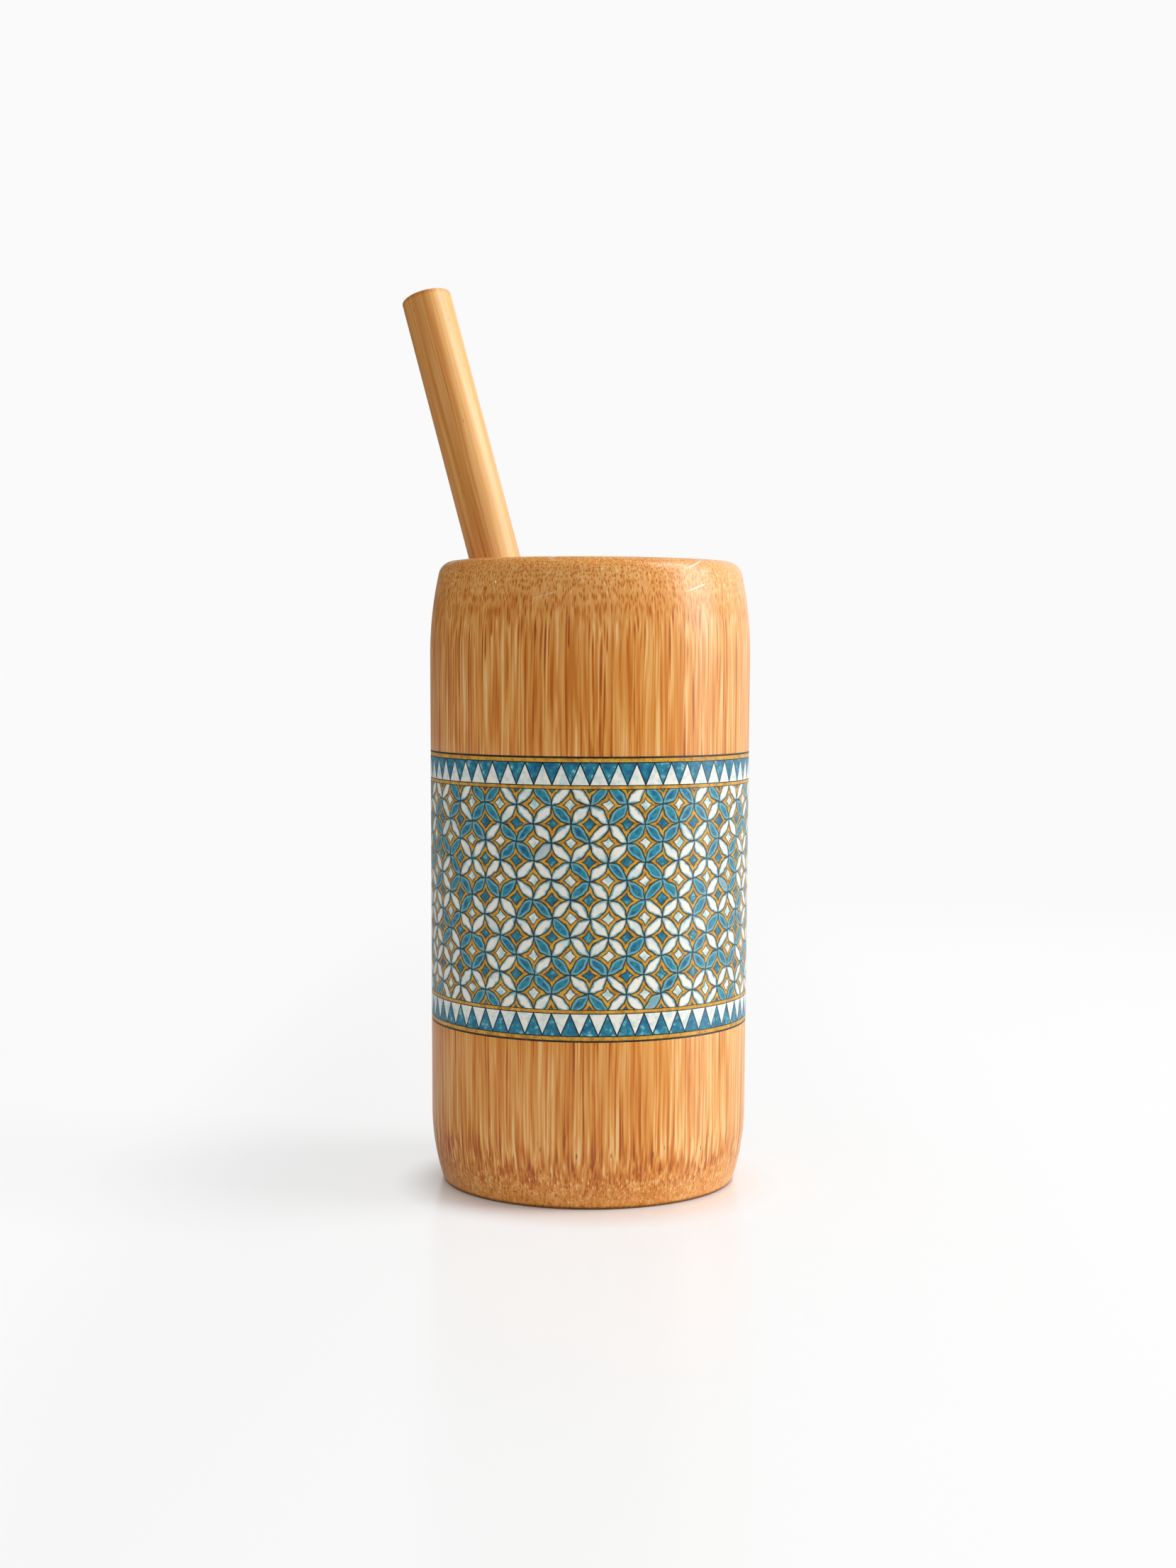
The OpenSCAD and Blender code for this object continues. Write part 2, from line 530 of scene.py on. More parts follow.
        fine = g.grain(swayed, self.fibre_gap, self.fibre_run)
        fibre = g.noise(fine, detail=self.fibre_detail) - NOISE_MIDDLE
        stripe = g.noise(g.grain(swayed, self.stripe_w, self.stripe_run)) - NOISE_MIDDLE
        patch = g.noise(g.grain(at, self.patch_w, self.patch_run), detail=1.0)
        pore = g.cells(g.grain(swayed, self.pore_gap, self.pore_run)).fade(*self.pore_edge)
        pore = pore * z.fade(*self.pore_low) * z.fade(*self.pore_high)

        is_pale = (kind - (self.pale_share - high * self.pale_less)).fade(self.kind_edge, -self.kind_edge)
        worn = patch.rise(self.worn) * (1 - high) * (1 - low)
        strength = (self.core_depth + girth * self.core_depth_vary) * (1 - worn) * (1 - ends)
        cut_strength = (self.cut_depth + cut_girth * self.cut_depth_vary) * ends
        cut_strength = cut_strength * (1 - z.rise(self.calm_foot))
        dark_core = core * (1 - is_pale) * strength + cut_core * (1 - cut_pale) * cut_strength
        pale_core = core * is_pale * strength + cut_core * cut_pale * cut_strength

        vigour = 1 + z.rise(self.lively) - z.rise(self.calm) - ends * self.ends_less
        streaks = (fibre * self.fibre_tone + stripe * self.stripe_tone) * vigour
        tone = self.tone + streaks + shade.swing(self.shade_tone)
        tone = tone + cut_shade.swing(ends) * self.cut_shade_tone
        dash = z.fade(*self.dash_low) * z.fade(*self.dash_high)
        tone = tone - dark_core * (self.dark_tone + dash * self.dash_tone)
        tone = tone + halo * (1 - is_pale) * (1 - ends) * self.halo_tone
        tone = tone + pale_core * (self.pale_tone + z.rise(self.pale_foot))
        tone = tone + z.rise(self.waist) - low * (1 - base) * self.low_tone - base * self.base_tone
        # The last term is painted light: the wood is painted paler towards +X
        tone = tone + high * self.high_tone + z.rise(self.lip) + x.rise(self.painted_lit_side)
        wood = g.ramp(tone, self.stops)
        # Painted highlights: white glints and thin highlight lines mixed into the wood's colour near the lip
        colour = g.mix(self.painted_glints(g, at) * self.glint_share, wood, self.white)
        colour = g.mix(self.painted_highlight_lines(g, at) * self.highlight_line_share, colour, self.white)
        colour = g.mix(pore * self.pore_share, colour, self.pore_brown)
        # Painted shadow: the lowest 0.9 mm of the wood darkens towards near black, standing in for the
        # contact shadow
        colour = g.mix(z.rise(self.contact_shade_band), colour, self.contact_shade)
        return g.surface(
            Base_Color=colour,
            Roughness=self.rough - dark_core * self.core_gloss + fibre * self.fibre_rough,
            Normal=g.bump(fibre * self.relief_share - dark_core * self.relief_share, self.relief),
            Specular_IOR_Level=self.specular,
            Coat_Weight=z.fade(*self.lacquer, 0.0, self.lacquer_weight),
            Coat_IOR=self.lacquer_ior,
            Coat_Roughness=self.lacquer_rough,
        )

    def painted_glints(self, g: Graph, at: Point) -> Wire:
        """Scatter small painted highlights, white glints, below the lip.

        Args:
            g: The material's graph.
            at: The point, in millimetres.

        Returns:
            How bright the glint is, from 0 to 1.
        """
        _, _, z = at
        point = g.grain(at, self.glint_gap)
        rare, _, _ = g.split(g.cells(point, "Color"))
        glint = g.cells(point).fade(*self.glint_edge) * rare.fade(*self.glint_rare)
        return glint * z.fade(*self.glint_low) * z.fade(*self.glint_high)

    def painted_highlight_lines(self, g: Graph, at: Point) -> Wire:
        """Scatter long slanting painted highlight lines over the lip.

        Args:
            g: The material's graph.
            at: The point, in millimetres.

        Returns:
            How bright the painted highlight line is, from 0 to 1.
        """
        x, y, z = at
        around = g.math("ARCTAN2", x, -y) * self.around_r
        point = g.vector(around / self.highlight_line_run, (z - around * self.highlight_line_climb) / self.highlight_line_w, 0.0)
        rare, _, _ = g.split(g.cells(point, "Color", flat=True))
        highlight_line = g.cells(point, flat=True).fade(*self.highlight_line_edge) * rare.fade(*self.highlight_line_rare)
        return highlight_line * z.fade(*self.highlight_line_low)


@dataclass(frozen=True)
class StrawBamboo:
    """The straw's own skin: paler, smoother bamboo with fine fibres along it."""

    centre: Vector
    turn: Matrix
    name: str = "straw_bamboo"
    stops: Stops = (
        (0.0, paint(172, 88, 14)),
        (0.35, paint(214, 139, 57)),
        (0.7, paint(239, 182, 110)),
        (1.0, paint(253, 211, 156)),
    )
    radius: float = 5.6
    detail: float = 3.0
    fibre_gap: float = 0.3
    fibre_run: float = 40.0
    broad_gap: float = 1.1
    broad_run: float = 60.0
    broad_rough: float = 0.65
    fleck_gap: float = 2.4
    fleck_run: float = 6.0
    fleck: Rise = (0.1, 0.04, 0.24)

    # The burnt ends, and painted light: the side towards +X is painted paler, and less so near its far edge
    burnt: Rise = (97.0, 97.8, 0.16)
    painted_lit_side: Span = (-0.2, 0.7)
    far_side: Span = (1.1, 0.7)
    far_share: float = 0.45

    # The tone, from 0 for brown to 1 for cream, and what each feature changes
    tone: float = 0.4
    fibre_tone: float = 0.6
    broad_tone: float = 0.8
    painted_lit_tone: float = 0.42

    # The skin: how rough it is, the depth of its relief in millimetres, and its lacquer
    rough: float = 0.42
    rough_vary: float = 0.15
    relief: float = 0.02
    specular: float = 0.4
    lacquer_weight: float = 0.25
    lacquer_rough: float = 0.4

    def material(self) -> bpy.types.Material:
        """Build the material.

        Returns:
            The straw's bamboo.
        """
        g = Graph(self.name)
        at = x, _, z = g.place(self.centre, self.turn)
        fibre = g.noise(g.grain(at, self.fibre_gap, self.fibre_run), self.detail)
        broad = g.noise(g.grain(at, self.broad_gap, self.broad_run), self.detail, self.broad_rough)
        fleck = g.cells(g.grain(at, self.fleck_gap, self.fleck_run)).rise(self.fleck)
        across = x / self.radius
        # Painted light: paler towards +X, easing off near the far edge
        painted_lit_side = across.fade(*self.painted_lit_side) * across.fade(*self.far_side, self.far_share, 1.0)
        tone = self.tone + fibre.swing(self.fibre_tone) + broad.swing(self.broad_tone)
        tone = tone + painted_lit_side * self.painted_lit_tone - fleck - abs(z).rise(self.burnt)
        return g.surface(
            Base_Color=g.ramp(tone, self.stops),
            Roughness=self.rough + fibre.swing(self.rough_vary),
            Normal=g.bump(fibre, self.relief),
            Specular_IOR_Level=self.specular,
            Coat_Weight=self.lacquer_weight,
            Coat_Roughness=self.lacquer_rough,
        )


@dataclass(frozen=True)
class StripBoard:
    """Bamboo strips glued side by side into a board, for the floor disc."""

    name: str = "strip_board"
    stops: Stops = ((0.0, paint(172, 112, 56)), (0.5, paint(212, 158, 94)), (1.0, paint(232, 190, 132)))
    strip_w: float = 5.2
    joint_w: float = 0.1
    joint_depth: float = 0.6
    fibre_gap: float = 0.3
    fibre_run: float = 14.0
    fibre_detail: float = 3.0
    strip_shift: float = 9.0
    tone: float = 0.5
    fibre_tone: float = 0.8
    strip_tone: float = 0.35
    joint_tone: float = 0.5
    rough: float = 0.4
    rough_vary: float = 0.15
    relief: float = 0.03
    lacquer_weight: float = 0.25
    lacquer_rough: float = 0.25

    def material(self) -> bpy.types.Material:
        """Build the material.

        Returns:
            The floor's board.
        """
        g = Graph(self.name)
        x, y, z = g.place()
        across = y / self.strip_w
        strip = g.math("FLOOR", across)
        joint = abs(g.math("FRACT", across) - 0.5).fade(0.5 - self.joint_w / self.strip_w, 0.5)
        shade = g.node("ShaderNodeTexWhiteNoise", {"noise_dimensions": "1D"}, {"W": strip + 0.5})
        along = x / self.fibre_run + shade * self.strip_shift
        fibre = g.noise(g.vector(along, y / self.fibre_gap, z / self.fibre_gap), self.fibre_detail)
        tone = self.tone + fibre.swing(self.fibre_tone) + shade.swing(self.strip_tone)
        tone = tone - joint * self.joint_tone
        return g.surface(
            Base_Color=g.ramp(tone, self.stops),
            Roughness=self.rough + fibre.swing(self.rough_vary),
            Normal=g.bump(fibre - joint * self.joint_depth, self.relief),
            Coat_Weight=self.lacquer_weight,
            Coat_Roughness=self.lacquer_rough,
        )


@dataclass(frozen=True)
class Sealant:
    """A cream bead of food-safe sealant, smoothed by a fingertip."""

    name: str = "sealant"
    cream: Colour = paint(226, 214, 186)
    shade: Colour = paint(204, 186, 148)
    smear_w: float = 3.0
    rough: float = 0.38
    rough_vary: float = 0.2
    relief: float = 0.08

    def material(self) -> bpy.types.Material:
        """Build the material.

        Returns:
            The sealant.
        """
        g = Graph(self.name)
        x, y, z = g.place()
        smear = g.noise(g.vector(x / self.smear_w, y / self.smear_w, z))
        return g.surface(
            Base_Color=g.mix(smear, self.cream, self.shade),
            Roughness=self.rough + smear.swing(self.rough_vary),
            Normal=g.bump(smear, self.relief),
        )


@dataclass(frozen=True)
class EdgeLacquer:
    """The thin dark line that hides each edge of the band."""

    name: str = "edge_lacquer"
    dark: Colour = paint(44, 34, 26)
    worn: Colour = paint(92, 62, 38)
    wear_w: float = 1.4
    wear: Span = (0.52, 0.75)
    wear_detail: float = 3.0
    rough: float = 0.4
    rough_vary: float = 0.2
    relief: float = 0.02

    def material(self) -> bpy.types.Material:
        """Build the material.

        Returns:
            The line's lacquer.
        """
        g = Graph(self.name)
        wear = g.noise(g.grain(g.place(), self.wear_w), self.wear_detail)
        return g.surface(
            Base_Color=g.mix(wear.fade(*self.wear), self.dark, self.worn),
            Roughness=self.rough + wear.swing(self.rough_vary),
            Normal=g.bump(wear, self.relief),
        )


@dataclass(frozen=True)
class TilePrint:
    """The printed band: a lattice of crossing circles, with cream or blue petals and stars on gold."""

    low_z: float
    high_z: float
    name: str = "tile_print"
    cream: Colour = paint(246, 243, 232)
    aqua: Colour = paint(166, 212, 216)
    teal: Colour = paint(40, 146, 166)
    blue: Colour = paint(10, 90, 132)
    gold: Colour = paint(228, 170, 52)
    ochre: Colour = paint(168, 112, 28)
    ink: Colour = paint(16, 32, 34)

    # The lattice: its tiles round the band, and a shift that keeps every cell's number above zero
    radius: float = 34.8
    repeats: int = 28
    shift: float = 100.5

    # The noises of the hand and the paint: their sizes, and how far the hand strays
    hand_w: float = 2.2
    wobble: float = 0.13
    wash_w: float = 1.3
    wash_detail: float = 4.0
    wash_rough: float = 0.6
    wide_w: float = 5.0
    grit_w: float = 0.44

    # Where one paint gives way to the next
    gold_wash: Span = (0.35, 0.75)
    speck: Rise = (0.38, 0.14, 0.75)
    water_wash: Span = (0.3, 0.7)
    foam: Rise = (0.56, 0.72, 0.8)
    plain_wash: Span = (0.35, 0.65)

    # The petals, with distances as shares of a tile from their edge
    bleed: float = 0.2
    rim: Span = (0.12, 0.01)
    white_rim_share: float = 0.9
    blue_rim_share: float = 0.8
    tint: Rise = (0.5, 0.66, 0.4)
    heart: Span = (0.04, 0.12)
    blue_from: Span = (0.63, 0.65)

    # The stars on the ground, and the ink round them and round the petals
    star: Span = (0.125, 0.145)
    star_edge: float = 0.135
    star_ink: Rise = (0.03, 0.012, 0.85)
    petal_edge: float = 0.006
    outline_w: float = 0.04
    outline_vary: float = 0.09
    outline_in: float = 0.012
    outline_share: float = 0.92

    # The border: a row of triangles between two gold stripes
    border_h: float = 6.4
    border_edge: float = 0.03
    stripe_h: float = 0.75
    line_w: float = 0.2
    line: Span = (0.7, 0.35)
    line_off: float = 0.1
    last_line_off: float = 0.05
    stripe_off: Span = (0.15, 0.2)
    tooth_wash: Rise = (0.4, 0.7, 0.7)
    tooth_edge: float = 0.02
    tooth_ink: Span = (0.1, 0.05)

    # The finish: how rough it is, the depth of its relief in millimetres, and its lacquer
    rough: float = 0.4
    rough_vary: float = 0.14
    relief: float = 0.02
    wash_relief: float = 0.4
    ink_relief: float = 0.2
    specular: float = 0.4
    lacquer_weight: float = 0.25
    lacquer_rough: float = 0.25

    def material(self) -> bpy.types.Material:
        """Build the material.

        Returns:
            The printed and lacquered band.
        """
        g = Graph(self.name)
        at = x, y, z = g.place()
        middle = (self.low_z + self.high_z) / 2
        hand = g.noise(g.grain(at, self.hand_w), detail=1.0, output="Color")
        hand_u, hand_v, _ = g.split(hand)
        turn = g.math("ARCTAN2", x, -y) / FULL_TURN
        around = turn * self.repeats + hand_u.swing(self.wobble)
        tile_w = FULL_TURN * self.radius / self.repeats
        upward = (z - middle) / tile_w + hand_v.swing(self.wobble)
        slope_a = around + upward + self.shift
        slope_b = around - upward + self.shift
        cell_a = g.math("FLOOR", slope_a)
        cell_b = g.math("FLOOR", slope_b)
        off_a = abs(slope_a - cell_a - 0.5)
        off_b = abs(slope_b - cell_b - 0.5)
        reach = 1 - g.math("MAXIMUM", off_a, off_b)
        near = g.math("MINIMUM", off_a, off_b)
        gap = g.math("SQRT", reach * reach + near * near) - math.sqrt(0.5)
        checker = g.math("MODULO", cell_a + cell_b, 2.0)

        wash = g.noise(g.grain(at, self.wash_w), self.wash_detail, self.wash_rough)
        wide_wash = g.noise(g.grain(at, self.wide_w))
        speck = g.cells(g.grain(at, self.grit_w)).rise(self.speck)
        gold = g.mix(wash.fade(*self.gold_wash), self.gold, self.ochre)
        gold = g.mix(speck, gold, self.ochre)
        water = g.mix(wash.fade(*self.water_wash), self.blue, self.teal)
        water = g.mix(wash.rise(self.foam), water, self.aqua)

        across = g.math("GREATER_THAN", off_a, off_b)
        petal_a = g.math("FLOOR", slope_a + across * 0.5)
        petal_b = g.math("FLOOR", slope_b + (1 - across) * 0.5)
        petal_id = {"Vector": g.vector(petal_a, petal_b, across)}
        chance = g.node("ShaderNodeTexWhiteNoise", {"noise_dimensions": "3D"}, petal_id)
        depth = -gap + wash.swing(self.bleed)
        rim = depth.fade(*self.rim)
        tinted = g.mix(wide_wash.rise(self.tint), self.cream, self.aqua)
        white_petal = g.mix(rim * self.white_rim_share, tinted, self.teal)
        rimmed = g.mix(rim * self.blue_rim_share, self.aqua, self.teal)
        deep = g.mix(wash.fade(*self.plain_wash), self.blue, self.teal)
        blue_petal = g.mix(depth.fade(*self.heart), rimmed, deep)
        petal = g.mix(chance.fade(*self.blue_from), white_petal, blue_petal)

        light = g.mix(wash.fade(*self.plain_wash), self.cream, self.aqua)
        ground = g.mix(gap.fade(*self.star), gold, g.mix(checker, water, light))
        ground = g.mix(abs(gap - self.star_edge).rise(self.star_ink), ground, self.ink)
        pattern = g.mix(gap.fade(-self.petal_edge, self.petal_edge), petal, ground)
        outline = abs(gap).fade(self.outline_w + wash.swing(self.outline_vary), self.outline_in)
        pattern = g.mix(outline * self.outline_share, pattern, self.ink)

        edge = g.math("MINIMUM", z - self.low_z, self.high_z - z)
        border = self.border(g, turn, edge, gold, water, wash)
        inward = edge.fade(self.border_h + self.border_edge, self.border_h - self.border_edge)
        return g.surface(
            Base_Color=g.mix(inward, pattern, border),
            Roughness=self.rough + wash.swing(self.rough_vary),
            Normal=g.bump(wash * self.wash_relief + outline * self.ink_relief, self.relief),
            Specular_IOR_Level=self.specular,
            Coat_Weight=self.lacquer_weight,
            Coat_Roughness=self.lacquer_rough,
        )

    def border(self, g: Graph, turn: Wire, edge: Wire, gold: Wire, water: Wire, wash: Wire) -> Wire:
        """Paint the rows of triangles and stripes along the band's edges.

        Args:
            g: The material's graph.
            turn: The share of a full turn from the front.
            edge: The distance in from the nearer edge.
            gold: The gold paint.
            water: The blue paint.
            wash: The noise that loosens the paint.

        Returns:
            The border's colour.
        """
        saw = turn * (self.repeats * 2)
        wave = abs(saw - g.math("FLOOR", saw) - 0.5) * 2
        low = self.stripe_h + self.line_w
        high = self.border_h - self.stripe_h - self.line_w
        side = wave - (edge - low) / (high - low)
        pale = g.mix(wash.rise(self.tooth_wash), self.cream, self.aqua)
        rows = g.mix(side.fade(-self.tooth_edge, self.tooth_edge), pale, water)
        rows = g.mix(abs(side).fade(*self.tooth_ink), rows, self.ink)
        near, far = self.stripe_off
        stripe = g.math("MAXIMUM", edge.fade(low - near, low - far), edge.fade(high + near, high + far))
        rows = g.mix(stripe, rows, gold)
        wide, narrow = (self.line_w * share for share in self.line)
        for level in (low - self.line_off, high + self.line_off, self.border_h - self.last_line_off):
            rows = g.mix(abs(edge - level).fade(wide, narrow), rows, self.ink)
        return rows


class Lathe:
    """An outline drawn point by point in the XZ plane, which is then turned round the Z axis."""

    def __init__(self, radius: float, height: float) -> None:
        """Start the outline at one point.

        Args:
            radius: How far out the point lies, in millimetres.
            height: How high it lies, in millimetres.
        """
        self.mesh = bmesh.new()
        self.start = self.mesh.verts.new((radius, 0.0, height))
        self.tip = self.start

    def line(self, radius: float, height: float, steps: int = 1) -> Lathe:
        """Draw a straight stretch.

        Args:
            radius: The stretch's far end, outwards.
            height: The stretch's far end, upwards.
            steps: How many pieces it is drawn in.

        Returns:
            The lathe itself.
        """
        begin, end = self.tip.co.copy(), Vector((radius, 0.0, height))
        for step in range(1, steps + 1):
            grown = bmesh.ops.extrude_vert_indiv(self.mesh, verts=[self.tip])
            self.tip = grown["verts"][0]
            self.tip.co = begin.lerp(end, step / steps)
        return self

    def arc(self, centre_r: float, centre_z: float, angle: float, steps: int) -> Lathe:
        """Draw an arc from the tip about a centre.

        Args:
            centre_r: The centre's radius.
            centre_z: The centre's height.
            angle: How far it turns, in radians, anticlockwise with the radius to the right.
            steps: How many pieces it is drawn in.

        Returns:
            The lathe itself.
        """
        bent = bmesh.ops.spin(
            self.mesh,
            geom=[self.tip],
            cent=(centre_r, 0.0, centre_z),
            axis=(0.0, -1.0, 0.0),
            angle=angle,
            steps=steps,
        )
        self.tip = next(part for part in bent["geom_last"] if isinstance(part, bmesh.types.BMVert))
        return self

    def close(self) -> Lathe:
        """Join the last point to the first."""
        self.mesh.edges.new((self.tip, self.start))
        return self

    def turn(self, segments: int) -> bmesh.types.BMesh:
        """Turn the outline through a full circle.

        Args:
            segments: How many steps the circle has.

        Returns:
            The closed mesh, in millimetres.
        """
        bmesh.ops.spin(
            self.mesh,
            geom=self.mesh.verts[:] + self.mesh.edges[:],
            cent=(0.0, 0.0, 0.0),
            axis=(0.0, 0.0, 1.0),
            angle=FULL_TURN,
            steps=segments,
            use_merge=True,
        )
        return self.mesh

    def sweep(self, start: float, angle: float, segments: int) -> bmesh.types.BMesh:
        """Turn a closed outline through part of a circle and close both its ends.

        Args:
            start: Where the sweep begins, in radians anticlockwise from +X.
            angle: How far it turns, in radians.
            segments: How many steps it has.

        Returns:
            The closed mesh, in millimetres.
        """
        outline = self.mesh.verts[:]
        bmesh.ops.rotate(self.mesh, verts=outline, matrix=Matrix.Rotation(start, 3, "Z"))
        self.mesh.faces.new(outline)
        bmesh.ops.spin(
            self.mesh,
            geom=self.mesh.faces[:] + self.mesh.edges[:] + outline,
            cent=(0.0, 0.0, 0.0),
            axis=(0.0, 0.0, 1.0),
            angle=angle,
            steps=segments,
        )
        return self.mesh


def make_piece(
    mesh: bmesh.types.BMesh, name: str, material: bpy.types.Material, body: str, node: str
) -> bpy.types.Object:
    """Turn a mesh in millimetres into a finished piece of the part.

    Args:
        mesh: The mesh, which is freed.
        name: The piece's name.
        material: Its finish.
        body: The CAD body it rides on.
        node: The CAD node it stands for.

    Returns:
        The new object.
    """
    bmesh.ops.remove_doubles(mesh, verts=mesh.verts[:], dist=MERGE_GAP)
    bmesh.ops.dissolve_degenerate(mesh, edges=mesh.edges[:], dist=MERGE_GAP)
    bmesh.ops.recalc_face_normals(mesh, faces=mesh.faces[:])
    bmesh.ops.scale(mesh, vec=(MM, MM, MM), verts=mesh.verts[:])
    for face in mesh.faces:
        face.smooth = True
    for edge in mesh.edges:
        edge.smooth = edge.calc_face_angle(0.0) < SHARP_ANGLE
    data = bpy.data.meshes.new(name)
    mesh.to_mesh(data)
    mesh.free()
    data.materials.append(material)
    piece = bpy.data.objects.new(name, data)
    bpy.context.scene.collection.objects.link(piece)
    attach(piece, body)
    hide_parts(node)
    triangles = sum(len(face.vertices) - 2 for face in data.polygons)
    log.info("%s: %d triangles, on body %s", name, triangles, body)
    return piece


@dataclass
class TurnedCup:
    """The turned culm with its glued floor."""

    height: float = 135.5
    top_r: float = 35.0
    taper: float = 0.5
    wall_t: float = 6.5
    shoulder_h: float = 20.0
    shoulder_in: float = 2.5
    lip_outer_r: float = 3.4
    lip_inner_r: float = 1.0
    foot_h: float = 16.0
    foot_in: float = 2.6
    foot_edge_r: float = 0.7
    ledge_h: float = 3.0
    ledge_w: float = 2.0
    floor_t: float = 5.0
    floor_clear: float = 0.1
    floor_bevel: float = 0.4
    seal_w: float = 1.3
    seal_edge_t: float = 0.25
    inner_edge_r: float = 0.4
    groove_edge_r: float = 0.06
    body: str = "cup"

    # Steps round the cup, and along each part of its outlines
    segments: int = 256
    disc_segments: int = 128
    edge_steps: int = 4
    nick_steps: int = 3
    round_steps: int = 8
    draw_in_steps: int = 20
    lip_steps: int = 14
    wall_steps: int = 6
    flat_steps: int = 2
    disc_steps: int = 12
    bead_steps: int = 10

    @property
    def bottom_r(self) -> float:
        """The radius at the bottom of the straight stretch."""
        return self.top_r - self.taper

    @property
    def bore_r(self) -> float:
        """The radius of the drinking space."""
        return self.top_r - self.wall_t

    @property
    def shoulder_z(self) -> float:
        """The height at which the straight stretch ends."""
        return self.height - self.shoulder_h

    def outer_r(self, height: float) -> float:
        """Find the wall's radius at a height on the straight stretch."""
        return self.bottom_r + self.taper * (height - self.foot_h) / (self.shoulder_z - self.foot_h)

    @staticmethod
    def draw_in(height: float, inward: float) -> float:
        """Find the radius of an arc that leaves an upright line and comes inward over a height."""
        return (height**2 + inward**2) / (2 * inward)

    @staticmethod
    def edge_reach(arc_r: float, edge_r: float, height: float) -> float:
        """Find how far out an edge circle's centre lies from that of an arc which it touches from inside."""
        return math.sqrt((arc_r - edge_r) ** 2 - (height - edge_r) ** 2)

    def wall(self, band: PrintedBand) -> bmesh.types.BMesh:
        """Turn the culm.

        Args:
            band: The band that its groove holds.

        Returns:
            The wall's mesh.
        """
        foot_r = self.draw_in(self.foot_h, self.foot_in)
        foot_x = self.bottom_r - foot_r
        edge_x = foot_x + self.edge_reach(foot_r, self.foot_edge_r, self.foot_h)
        foot_angle = math.asin((self.foot_h - self.foot_edge_r) / (foot_r - self.foot_edge_r))
        shoulder_r = self.draw_in(self.shoulder_h, self.shoulder_in)
        shoulder_x = self.top_r - shoulder_r
        lip_z = self.height - self.lip_outer_r
        lip_x = shoulder_x + self.edge_reach(shoulder_r, self.lip_outer_r, self.shoulder_h)
        lip_angle = math.asin((lip_z - self.shoulder_z) / (shoulder_r - self.lip_outer_r))
        ledge_r, rim, nick = self.bore_r - self.ledge_w, self.inner_edge_r, self.groove_edge_r

        lathe = Lathe(ledge_r, rim).arc(ledge_r + rim, rim, QUARTER, self.edge_steps)
        lathe.line(edge_x, 0.0, self.flat_steps)
        lathe.arc(edge_x, self.foot_edge_r, QUARTER - foot_angle, self.round_steps)
        lathe.arc(foot_x, self.foot_h, foot_angle, self.draw_in_steps)
        low, high = band.low_z, band.high_z
        low_r, high_r, depth = self.outer_r(low), self.outer_r(high), band.groove_t
        lathe.line(low_r, low - nick, self.wall_steps)
        lathe.arc(low_r - nick, low - nick, QUARTER, self.nick_steps)
        lathe.line(low_r - depth, low).line(high_r - depth, high).line(high_r - nick, high)
        lathe.arc(high_r - nick, high + nick, QUARTER, self.nick_steps)
        lathe.line(self.top_r, self.shoulder_z, self.wall_steps)
        lathe.arc(shoulder_x, self.shoulder_z, lip_angle, self.draw_in_steps)
        lathe.arc(lip_x, lip_z, QUARTER - lip_angle, self.lip_steps)
        inner_x, inner_z = self.bore_r + self.lip_inner_r, self.height - self.lip_inner_r
        lathe.line(inner_x, self.height).arc(inner_x, inner_z, QUARTER, self.round_steps)
        lathe.line(self.bore_r, self.ledge_h, self.round_steps).line(ledge_r + rim, self.ledge_h)
        lathe.arc(ledge_r + rim, self.ledge_h - rim, QUARTER, self.edge_steps).close()
        return lathe.turn(self.segments)

    def floor(self) -> bmesh.types.BMesh:
        """Cut the floor disc.

        Returns:
            The disc's mesh.
        """
        disc_r, low = self.bore_r - self.floor_clear, self.ledge_h
        high, bevel = low + self.floor_t, self.floor_bevel
        lathe = Lathe(0.0, low).line(disc_r, low, self.disc_steps)
        lathe.line(disc_r, high - bevel, self.flat_steps).line(disc_r - bevel, high)
        return lathe.line(0.0, high, self.disc_steps).turn(self.disc_segments)

    def seal(self) -> bmesh.types.BMesh:
        """Lay the bead of sealant in the floor's corner.

        Returns:
            The bead's mesh.
        """
        low, high = self.ledge_h + self.floor_t, self.ledge_h + self.floor_t + self.seal_w
        inner, hollow = self.bore_r - self.seal_w, self.seal_w - self.seal_edge_t
        lathe = Lathe(inner, low).line(self.bore_r, low, self.flat_steps)
        lathe.line(self.bore_r, high, self.flat_steps)
        lathe.line(inner + hollow, high).arc(inner, high, -QUARTER, self.bead_steps).close()
        return lathe.turn(self.segments)

    def build(self, band: PrintedBand) -> None:
        """Make the cup's wooden pieces and dress them.

        Args:
            band: The band that the wall holds.
        """
        make_piece(self.wall(band), "bamboo_wall", Culm().material(), self.body, "cup_wall")
        board = StripBoard().material()
        make_piece(self.floor(), "floor_board", board, self.body, "base_disc")
        make_piece(self.seal(), "floor_bead", Sealant().material(), self.body, "floor_seal")


